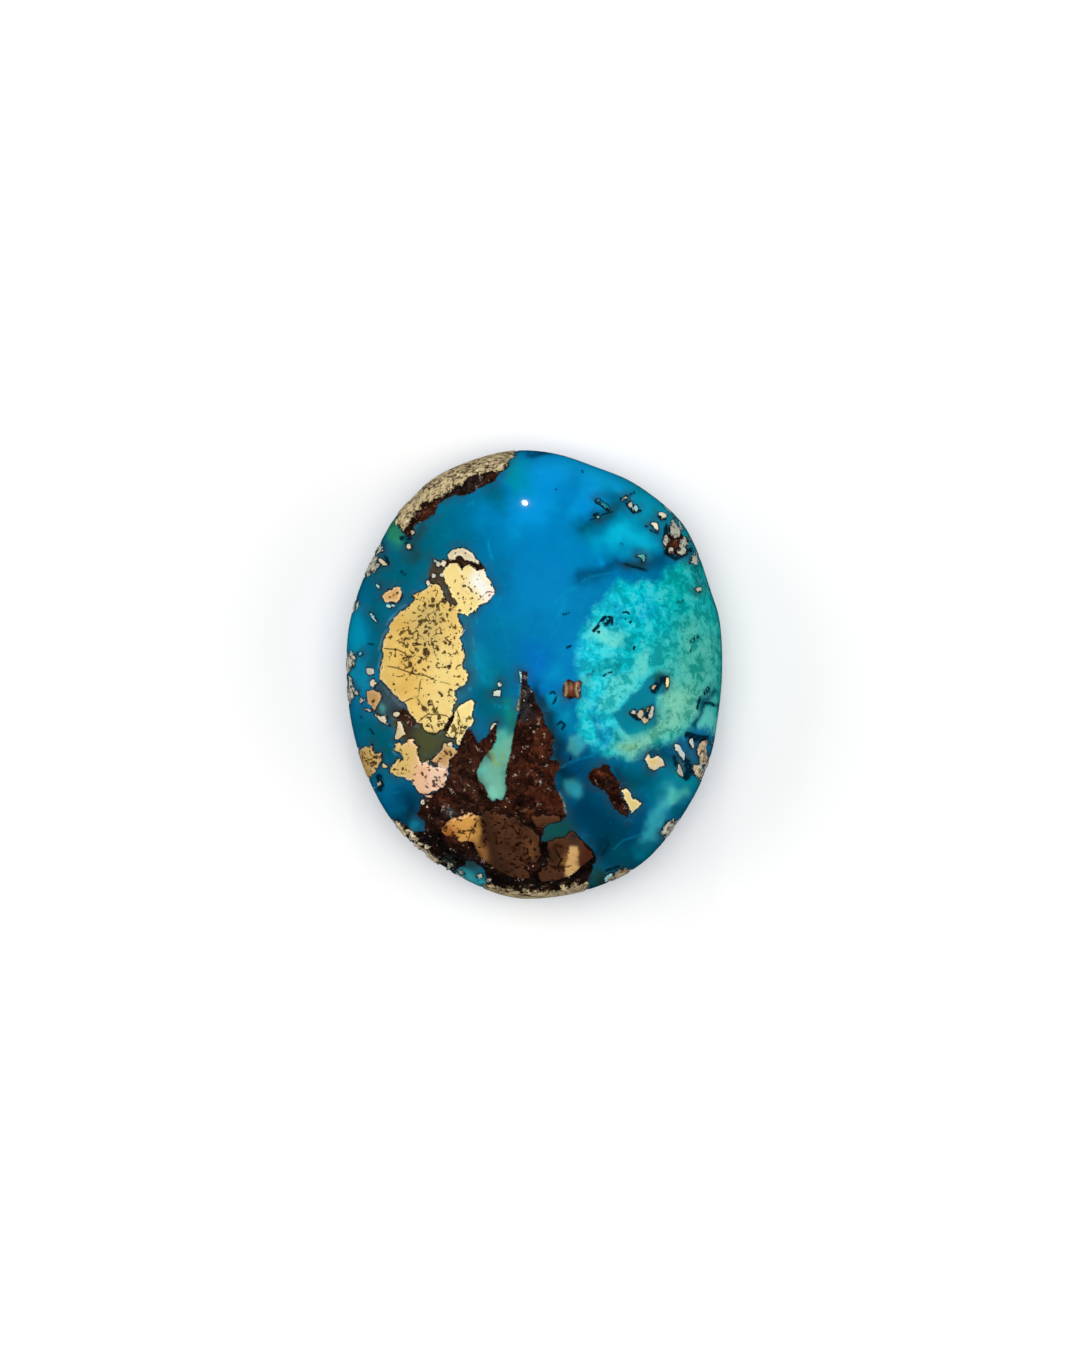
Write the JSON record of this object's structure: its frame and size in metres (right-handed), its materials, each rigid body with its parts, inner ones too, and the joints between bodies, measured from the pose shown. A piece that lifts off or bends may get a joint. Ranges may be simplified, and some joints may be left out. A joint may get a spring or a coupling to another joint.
{
  "type": "turquoise cabochon",
  "caption": "Polished freeform oval turquoise stone with pyrite and brown matrix, domed on the face and flat on the back, to be set in jewellery or shown loose.",
  "frame": {"origin": "middle of the outline's box, on the flat back", "axes": "+Z from the flat back to the crown of the dome, +Y along the stone's length towards the end with the thin upper crust, +X to the stone's right as the dome is looked at"},
  "size_m": [0.0188, 0.0224, 0.0082],
  "materials": {
    "turquoise": "polished"
  },
  "bodies": {
    "root": {"turquoise_stone": "turquoise"}
  },
  "joints": []
}
